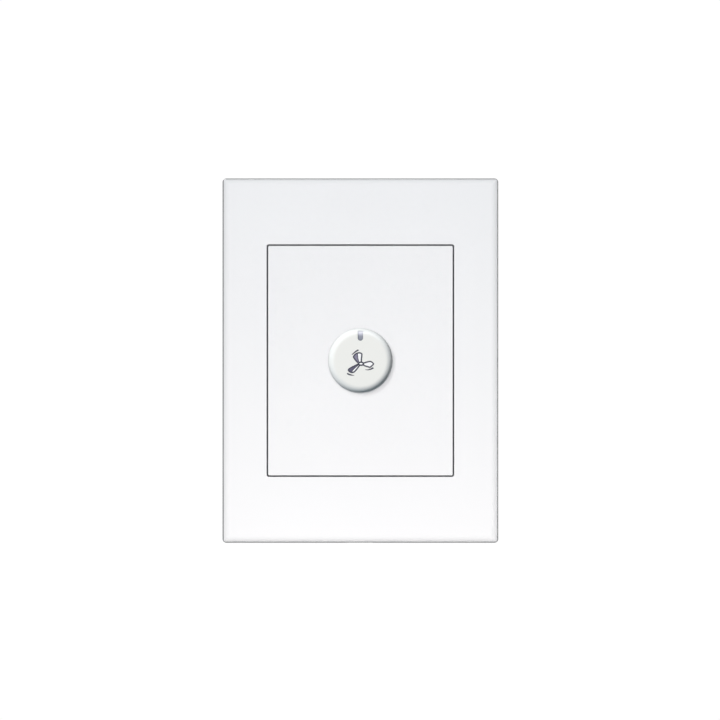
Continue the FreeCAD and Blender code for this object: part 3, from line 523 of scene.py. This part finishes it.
# paint in the pointer groove: follows the groove's floor over the rim
P_W, P_IN, P_OUT = 0.85, 6.4, 9.6
rows = 30
cols = 9
verts = []
for layer in (0.30, 0.40):
    for i in range(rows + 1):
        zc = P_IN + (P_OUT - P_IN) * (i / rows) ** 1.4
        near = P_IN + P_W - zc
        w = P_W if near <= 0 else math.sqrt(max(0.0, P_W ** 2 - near ** 2))
        w = max(w, 0.02)
        for j in range(cols + 1):
            xx = w * (2 * j / cols - 1)
            verts.append((xx, knob_y(math.hypot(xx, zc), layer), zc))
faces = []
wide = cols + 1
deep = (rows + 1) * wide
for i in range(rows):
    for j in range(cols):
        a = i * wide + j
        faces.append((a, a + 1, a + wide + 1, a + wide))
        faces.append((deep + a + wide, deep + a + wide + 1, deep + a + 1, deep + a))
for i in range(rows):
    for a, b in ((i * wide, (i + 1) * wide), ((i + 1) * wide + cols, i * wide + cols)):
        faces.append((a, b, deep + b, deep + a))
for j in range(cols):
    faces.append((j + 1, j, deep + j, deep + j + 1))
    k = rows * wide + j
    faces.append((k, k + 1, deep + k + 1, deep + k))
make("pointer_ink_and_shade", verts, faces, M["pointer"], "knob", "knob_plastic")

# ------------------------------------------------------------------ stage
bpy.ops.mesh.primitive_circle_add(vertices=128, radius=1.3, fill_type="NGON", location=(0, 0, -0.42))
floor = bpy.context.object
floor.name = "floor"
m = Mat("floor_paper")
paper = m.noise(300.0, 3.0, 0.5)
m.color(m.ramp(paper, [(0.3, lin(240, 240, 239)), (0.7, lin(245, 245, 244))]))
m.rough(m.span(paper, 0.3, 0.7, 0.8, 0.9))
# the sheet runs out softly into the white backdrop
x, y, z = m.xyz()
from_middle = m.math("SQRT", m.math("ADD", m.math("MULTIPLY", x, x), m.math("MULTIPLY", y, y)))
clear = m.add("ShaderNodeBsdfTransparent")
fade_out = m.add("ShaderNodeMixShader")
m.link(m.span(from_middle, 0.25, 1.2, 0.0, 1.0), fade_out.inputs[0])
m.link(m.bsdf.outputs[0], fade_out.inputs[1])
m.link(clear.outputs[0], fade_out.inputs[2])
m.link(fade_out.outputs[0], m.out.inputs["Surface"])
floor.data.materials.append(m.mat)
floor.visible_diffuse = False

# ------------------------------------------------------------------ light
world = bpy.data.worlds.new("studio")
scene.world = world
world.use_nodes = True
wt = world.node_tree
wt.nodes.clear()
w_out = wt.nodes.new("ShaderNodeOutputWorld")
w_mix = wt.nodes.new("ShaderNodeMixShader")
w_path = wt.nodes.new("ShaderNodeLightPath")
w_dim = wt.nodes.new("ShaderNodeBackground")
w_dim.inputs["Color"].default_value = (0.87, 0.96, 1.06, 1)
w_dim.inputs["Strength"].default_value = 0.08
w_gloss = wt.nodes.new("ShaderNodeBackground")
w_gloss.inputs["Color"].default_value = (0.97, 0.985, 1.0, 1)
w_gloss.inputs["Strength"].default_value = 0.20
w_pick = wt.nodes.new("ShaderNodeMixShader")
w_white = wt.nodes.new("ShaderNodeBackground")
w_white.inputs["Color"].default_value = (1, 1, 1, 1)
w_white.inputs["Strength"].default_value = 1.02
wt.links.new(w_path.outputs["Is Glossy Ray"], w_pick.inputs[0])
wt.links.new(w_dim.outputs[0], w_pick.inputs[1])
wt.links.new(w_gloss.outputs[0], w_pick.inputs[2])
wt.links.new(w_path.outputs["Is Camera Ray"], w_mix.inputs[0])
wt.links.new(w_pick.outputs[0], w_mix.inputs[1])
wt.links.new(w_white.outputs[0], w_mix.inputs[2])
wt.links.new(w_mix.outputs[0], w_out.inputs[0])


def area(name, loc, target, size, power, colour=(1, 1, 1)):
    lamp = bpy.data.lights.new(name, "AREA")
    lamp.shape = "DISK"
    lamp.size = size
    lamp.energy = power
    lamp.color = colour
    ob = bpy.data.objects.new(name, lamp)
    ob.location = loc
    ob.rotation_euler = (Vector(target) - Vector(loc)).to_track_quat("-Z", "Y").to_euler()
    ob.visible_camera = False
    scene.collection.objects.link(ob)
    return ob


def only(light, names, exclude=False):
    """The light falls only on these objects, or on all but these."""
    group = bpy.data.collections.new(light.name + "_lit")
    for n in names:
        group.objects.link(bpy.data.objects[n])
    if exclude:
        for c in group.collection_objects:
            c.light_linking.link_state = "EXCLUDE"
    light.light_linking.receiver_collection = group


def towards(azimuth, tilt, reach):
    """Point in front of the plate, tilted away from straight ahead towards a clock direction."""
    t, a = math.radians(tilt), math.radians(azimuth)
    return (reach * math.sin(t) * math.cos(a), -reach * math.cos(t), reach * math.sin(t) * math.sin(a))


KNOB_PIECES = ["control_knob", "fan_symbol_lines", "fan_symbol_shade", "fan_symbol_white", "pointer_ink_and_shade"]
main = area("front_main", towards(135, 11, 3.2), (0, 0, 0), 0.45, 26.4)
fill = area("front_fill", (0.0, -2.0, 0.02), (0, 0, 0), 0.2, 22.3)
plate_fill = area("plate_fill", towards(102, 9, 2.0), (0, 0, 0), 0.2, 23.1)
knob_key = area("knob_key", towards(132, 42, 2.4), (0, 0, 0), 0.5, 70.0)
knob_gloss = area("knob_gloss", towards(68, 62, 1.2), (0, 0, 0), 1.3, 7.5)
knob_gloss.visible_diffuse = False
knob_cool = area("knob_cool", towards(264, 78, 0.36), (0, 0, 0), 0.2, 0.08, (0.3, 0.72, 1.0))
knob_side = area("knob_side", towards(42, 88, 1.0), (0, 0, 0), 0.4, 1.3, (0.9, 0.97, 1.0))
for lamp in (main, fill, plate_fill, knob_key, knob_cool, knob_side):
    lamp.visible_glossy = False
NODES["centre_panel"].visible_diffuse = False
NODES["control_knob"].visible_diffuse = False
washes = []
for name, power, colour, aim in (
    ("low_wash", 38.5, (1.0, 0.91, 0.84), -0.3),
    ("high_wash", 6.5, (0.95, 0.98, 1.0), 0.3),
):
    spot = bpy.data.lights.new(name, "SPOT")
    spot.energy = power
    spot.color = colour
    spot.spot_size = 2 * math.atan(0.36 / 1.30)
    spot.spot_blend = 1.0
    spot.shadow_soft_size = 0.12
    ob = bpy.data.objects.new(name, spot)
    ob.location = (0.0, -1.30, 0.0)
    ob.rotation_euler = (Vector((0, 0, aim)) - Vector(ob.location)).to_track_quat("-Z", "Y").to_euler()
    ob.visible_camera = False
    ob.visible_glossy = False
    scene.collection.objects.link(ob)
    washes.append(ob)
for lamp in [main] + washes:
    only(lamp, KNOB_PIECES + ["mounting_frame"], exclude=True)
only(fill, KNOB_PIECES + ["mounting_frame", "cover_plate"], exclude=True)
only(plate_fill, ["cover_plate"])
only(knob_key, KNOB_PIECES)
only(knob_gloss, KNOB_PIECES)
only(knob_cool, KNOB_PIECES)
only(knob_side, KNOB_PIECES)
back_high = area("back_high", (-0.45, 1.0, 1.0), (0, 0, 0), 0.6, 7.0)
only(back_high, ["mounting_frame"], exclude=True)
area("back_low", (0.8, 1.0, -0.05), (0, 0, 0), 0.6, 2.0)
# soft light on the sides from behind, and on the paper from above
for name, loc, size, power in (
    ("side_left", (-1.4, 0.7, 0.0), 0.8, 8.0),
    ("side_right", (1.4, 0.7, 0.0), 0.8, 7.6),
    ("side_low", (0.0, 0.38, -0.38), 0.3, 0.6),
    ("side_high", (0.0, 0.7, 1.4), 0.8, 4.8),
):
    lamp = area(name, loc, (0, 0, 0), size, power)
    lamp.visible_glossy = False
    only(lamp, KNOB_PIECES + ["floor"], exclude=True)
back_card = area("back_card", (-0.5, 1.7, 0.5), (0, 0, 0), 1.1, 2.6)
back_card.visible_diffuse = False
only(back_card, KNOB_PIECES + ["floor", "cover_plate", "centre_panel"], exclude=True)
paper_light = area("paper_light", (0, 0, 2.0), (0, 0, 0), 1.0, 9.0)
paper_light.visible_glossy = False
only(paper_light, ["floor"])

# ------------------------------------------------------------------ camera
PX = 118.0 / 364.25 * MM          # metres per pixel at the plate's front
WIDE = 720 * PX
cam = bpy.data.cameras.new("camera")
cam.lens = 200.0
cam.sensor_width = 36.0
cam_ob = bpy.data.objects.new("camera", cam)
scene.collection.objects.link(cam_ob)
reach = WIDE * cam.lens / cam.sensor_width
cam_ob.location = (-0.4 * PX, -10 * MM - reach, 0.6 * PX)
cam_ob.rotation_euler = (math.radians(90), 0, 0)
cam.clip_start, cam.clip_end = 0.01, 20.0
scene.camera = cam_ob

scene.view_settings.view_transform = "Standard"
scene.view_settings.look = "None"
scene.view_settings.exposure = 0.0
scene.view_settings.gamma = 1.0
